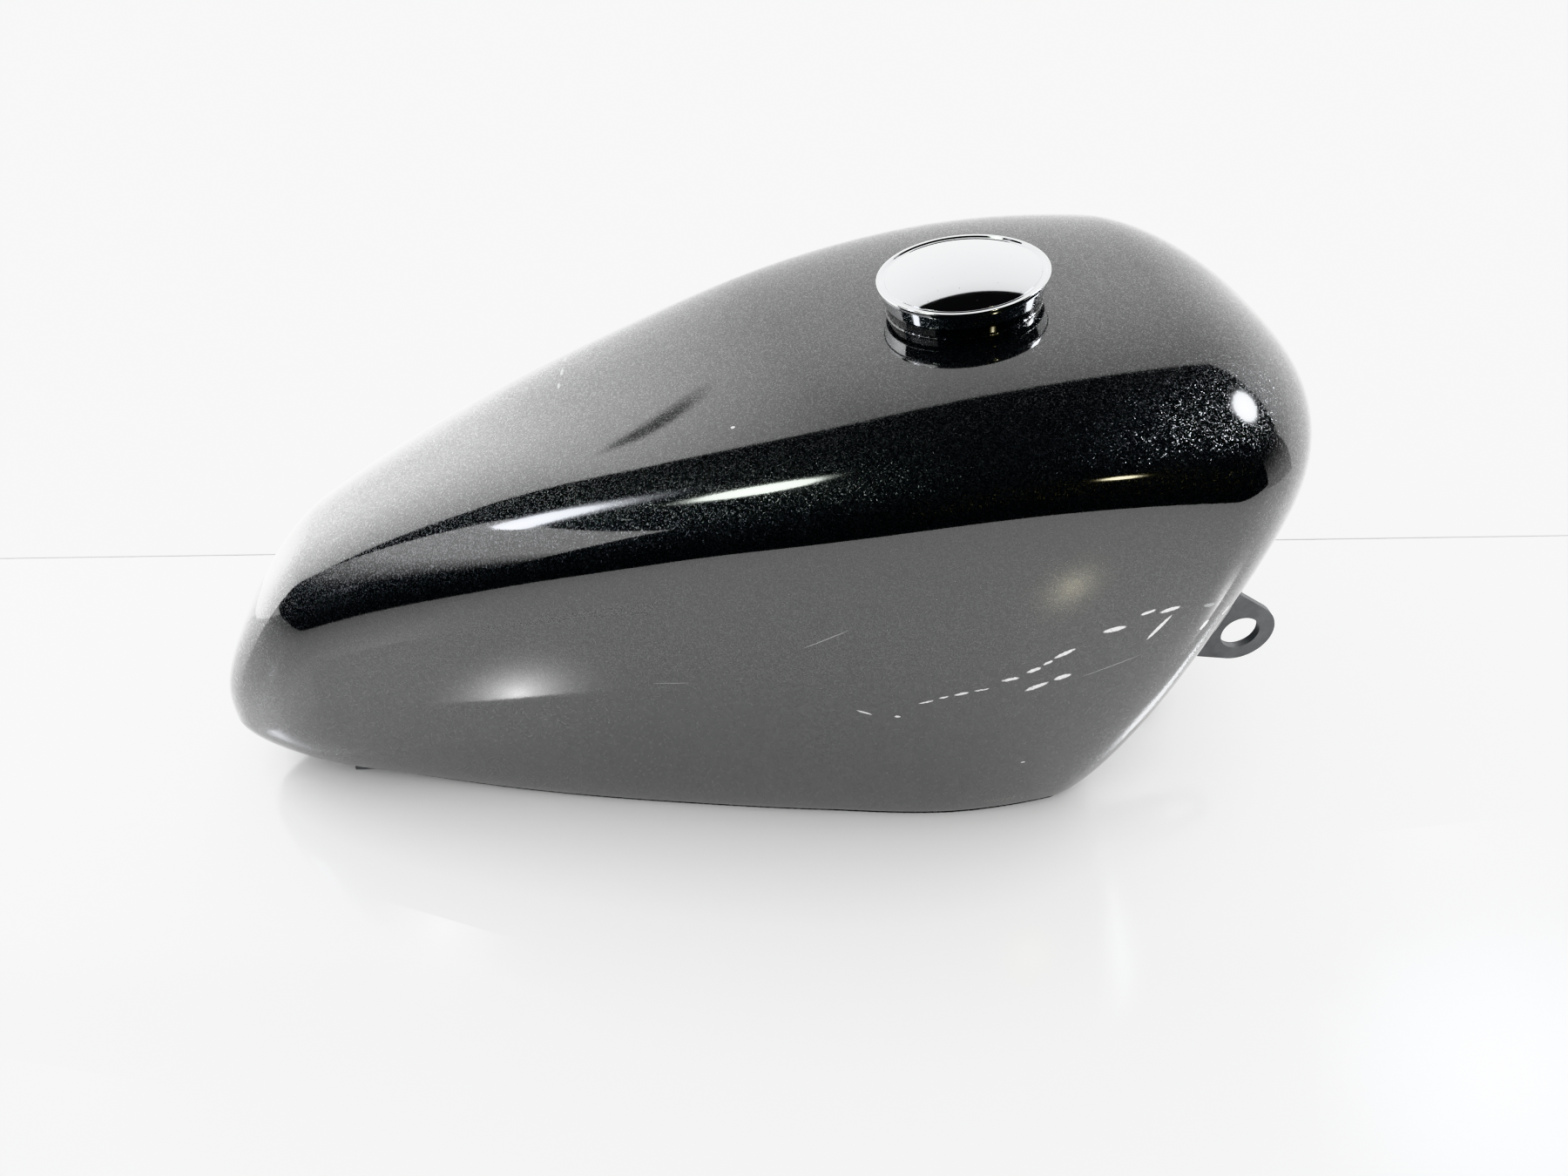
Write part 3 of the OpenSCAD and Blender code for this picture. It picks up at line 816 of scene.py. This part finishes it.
# Lengths of the stage are in metres.
WALL_Y = 0.141                          # the board behind the table, at x = 0
WALL_LEAN = math.tan(math.radians(-5.3))    # the board is not quite square to the tank
WALL_HIGH = 0.45
TABLE_EDGE = -0.52                      # the table's front edge
FAR = 4                                 # where the stage ends
SHADE_LINE_WIDE = 0.0012                     # a dark strip painted where the table meets the board: painted shade for that corner
SHADE_LINE_LIFT = 0.0002

WALL_LEVEL = 1.4                        # light of the board, up to the height WALL_DIMS
WALL_DIMS = 0.22
WALL_TOP_LEVEL = 0.85                   # and at its top
TAILWARD_FROM = 0.0                     # the board gets brighter from here towards the tail
TAILWARD_TO = -0.2
TAILWARD_LEVEL = 2.05
STREAK_PLACE = (-0.115, 0.15, 0.325)    # a dim streak on the board
STREAK_HALF_SIZE = (0.055, 1, 0.009)
STREAK_SLOPE = -24                      # degrees
STREAK_LEVEL = 0.25

ROOM_LEVEL = 0.4                        # light on matt surfaces from level and below
ROOM_TOP_LEVEL = 2.5                    # and from straight above
ROOM_MIRRORED = 0.015                   # what gloss mirrors where no board or lamp stands


def wall_y(x):
    """Where the board stands at x."""
    return WALL_Y + x * WALL_LEAN


def stage_plane(name, corners, material, **seen):
    """A flat stage piece; seen turns off kinds of ray that find it."""
    mesh = bpy.data.meshes.new(name)
    mesh.from_pydata(corners, [], [(0, 1, 2, 3)])
    mesh.materials.append(material)
    obj = bpy.data.objects.new(name, mesh)
    bpy.context.scene.collection.objects.link(obj)
    for key, value in seen.items():
        setattr(obj, "visible_" + key, value)
    return obj


def table_finish():
    """White lacquered board with faint scuffs."""
    m = Nodes("white_table")
    scuffs = m.noise(30 * mm, 6, 0.7)
    m.set(Base_Color=grey(0.8), Roughness=m.between(scuffs, 0.07, 0.2), Specular_IOR_Level=0.8,
          Normal=m.bump(m.noise(6 * mm), 0.004 * mm))
    return m.material


def matt_finish(name, tone):
    """Matt board with a faint grain."""
    m = Nodes(name)
    m.set(Base_Color=grey(tone), Roughness=0.9, Specular_IOR_Level=0.0,
          Normal=m.bump(m.noise(5 * mm), 0.01 * mm))
    return m.material


def light_only(m, strength, color=(1, 1, 1, 1)):
    """Makes the shader give light and reflect none."""
    m.set(Base_Color=grey(0), Specular_IOR_Level=0.0, Emission_Color=color, Emission_Strength=strength)
    return m.material


def wall_glow():
    """Lit white board: dimmer towards its top edge, brighter tailward, with one dim streak."""
    m = Nodes("backdrop_glow")
    axes = m.add("ShaderNodeSeparateXYZ", {0: m.place}).outputs
    level = m.ramp(axes["Z"], WALL_DIMS, WALL_HIGH, WALL_LEVEL, WALL_TOP_LEVEL)
    away = m.from_middle(STREAK_PLACE, STREAK_HALF_SIZE, STREAK_SLOPE)
    level = m.math("MULTIPLY", level, m.ramp(away, 0.6, 1.3, STREAK_LEVEL, 1.0))
    tailward = m.ramp(axes["X"], TAILWARD_TO, TAILWARD_FROM, TAILWARD_LEVEL, 1.0)
    return light_only(m, m.math("MULTIPLY", level, tailward))


def card_glow(name, strength, dark_height, bright_height):
    """Lit card that fades from one height to another."""
    m = Nodes(name)
    height = m.add("ShaderNodeSeparateXYZ", {0: m.place}).outputs["Z"]
    return light_only(m, m.ramp(height, dark_height, bright_height, 0.0, strength))


def emitter_glow(name, strength, color):
    """A lamp, or a glowing patch that paints a reflection or pool of light on the table, which fades out
    towards its edge.
    """
    m = Nodes(name)
    away = m.vector("LENGTH", m.place, output="Value")
    m.set(Alpha=m.math("POWER", m.ramp(away, 0.0, 1.0, 1.0, 0.0), 5.0))
    return light_only(m, strength, color)


board = matt_finish("white_board", 0.8)
stage_plane("table_top", [(-FAR, TABLE_EDGE, 0), (FAR, TABLE_EDGE, 0), (FAR, wall_y(FAR), 0),
                          (-FAR, wall_y(-FAR), 0)], table_finish())
stage_plane("table_front", [(-FAR, -FAR, 0), (FAR, -FAR, 0), (FAR, TABLE_EDGE, 0),
                            (-FAR, TABLE_EDGE, 0)], board, glossy=False)
stage_plane("table_back", [(-FAR, wall_y(-FAR), 0), (FAR, wall_y(FAR), 0), (FAR, FAR, 0),
                           (-FAR, FAR, 0)], board)
# A dark strip laid on the table at the foot of the board: painted shade where the board meets the table.
stage_plane("wall_shade_line", [(-FAR, wall_y(-FAR), SHADE_LINE_LIFT), (FAR, wall_y(FAR), SHADE_LINE_LIFT),
                           (FAR, wall_y(FAR) + SHADE_LINE_WIDE, SHADE_LINE_LIFT),
                           (-FAR, wall_y(-FAR) + SHADE_LINE_WIDE, SHADE_LINE_LIFT)],
            matt_finish("joint_shadow", 0.42), glossy=False)

# Boards and lamps that only the gloss of the tank and the table shows, and glowing patches on the table that
# paint reflections into it for the tank's gloss.
MIRRORED = {"camera": False, "diffuse": False, "shadow": False}
stage_plane("backdrop", [(-1, wall_y(-1), 0), (1, wall_y(1), 0), (1, wall_y(1), WALL_HIGH),
                         (-1, wall_y(-1), WALL_HIGH)], wall_glow(), **MIRRORED)
stage_plane("side_card_tail", [(-1, -0.7, 0.38), (-1, 0.24, 0.38), (-1, 0.24, 1), (-1, -0.7, 1)],
            card_glow("side_glow_tail", 1.6, 0.38, 0.6), **MIRRORED)
stage_plane("side_card_nose", [(1, -0.4, 0), (1, 0.15, 0), (1, 0.15, 0.55), (1, -0.4, 0.55)],
            card_glow("side_glow_nose", 0.8, 0.55, 0.1), **MIRRORED)

FACED = Vector((-0.1, -0.07, 0.2))      # the place on the tank that the lamps turn to
LAMPS_AND_GLOWS = {   # one end, other end, half width, strength, colour
    "lamp_nose": ((1.0, -0.08, 1.04), (1.0, 0.54, 1.04), 0.31, 420, (0.95, 0.97, 1, 1)),
    "lamp_tail": ((-1.7, -0.46, 0.36), (-0.5, 0.41, 1.32), 0.16, 230, (0.9, 0.93, 1, 1)),
    "lamp_top": ((-0.83, -0.02, 1.12), (-0.22, 0.24, 1.36), 0.12, 260, (0.93, 1, 0.92, 1)),
    "lamp_warm": ((0.42, -1.12, 0.98), (0.75, -1.07, 0.86), 0.14, 70, (1, 0.93, 0.65, 1)),
    # The three that lie flat on the table are no lamps. They are glowing patches that paint a lamp's
    # reflection and brighter pools of light into the table, seen only in the tank's gloss.
    "table_reflection_glow": ((-0.22, -0.085, 0.001), (-0.078, -0.149, 0.001), 0.075, 6, (1, 1, 1, 1)),
    "table_glow_tail": ((-0.46, -0.12, 0.001), (-0.12, -0.22, 0.001), 0.16, 1.5, (1, 1, 1, 1)),
    "table_glow_nose": ((0.18, -0.12, 0.001), (0.46, -0.12, 0.001), 0.14, 4, (1, 1, 1, 1)),
}
for name, (start, end, half_across, strength, color) in LAMPS_AND_GLOWS.items():
    middle = (Vector(start) + Vector(end)) / 2
    arm = (Vector(end) - Vector(start)) / 2
    across = arm.cross(middle - FACED).normalized() * half_across
    emitter = stage_plane(name, [(-1, -1, 0), (1, -1, 0), (1, 1, 0), (-1, 1, 0)],
                       emitter_glow(name, strength, color), **MIRRORED)
    emitter_axes = Matrix((across, arm, across.cross(arm).normalized())).transposed().to_4x4()
    emitter.matrix_world = Matrix.Translation(middle) @ emitter_axes

world = bpy.data.worlds.new("room")
bpy.context.scene.world = world
world.use_nodes = True
tree = world.node_tree
upward = tree.nodes.new("ShaderNodeSeparateXYZ")
tree.links.new(tree.nodes.new("ShaderNodeTexCoord").outputs["Generated"], upward.inputs[0])
sky = tree.nodes.new("ShaderNodeMapRange")
sky.inputs["To Min"].default_value = ROOM_LEVEL
sky.inputs["To Max"].default_value = ROOM_TOP_LEVEL
tree.links.new(upward.outputs["Z"], sky.inputs["Value"])
room = tree.nodes.new("ShaderNodeMix")
room.data_type = "RGBA"
room.inputs[7].default_value = grey(ROOM_MIRRORED)
tree.links.new(tree.nodes.new("ShaderNodeLightPath").outputs["Is Glossy Ray"], room.inputs[0])
tree.links.new(sky.outputs[0], room.inputs[6])
tree.links.new(room.outputs[2], tree.nodes["Background"].inputs["Color"])

bpy.context.scene.view_settings.view_transform = "Khronos PBR Neutral"
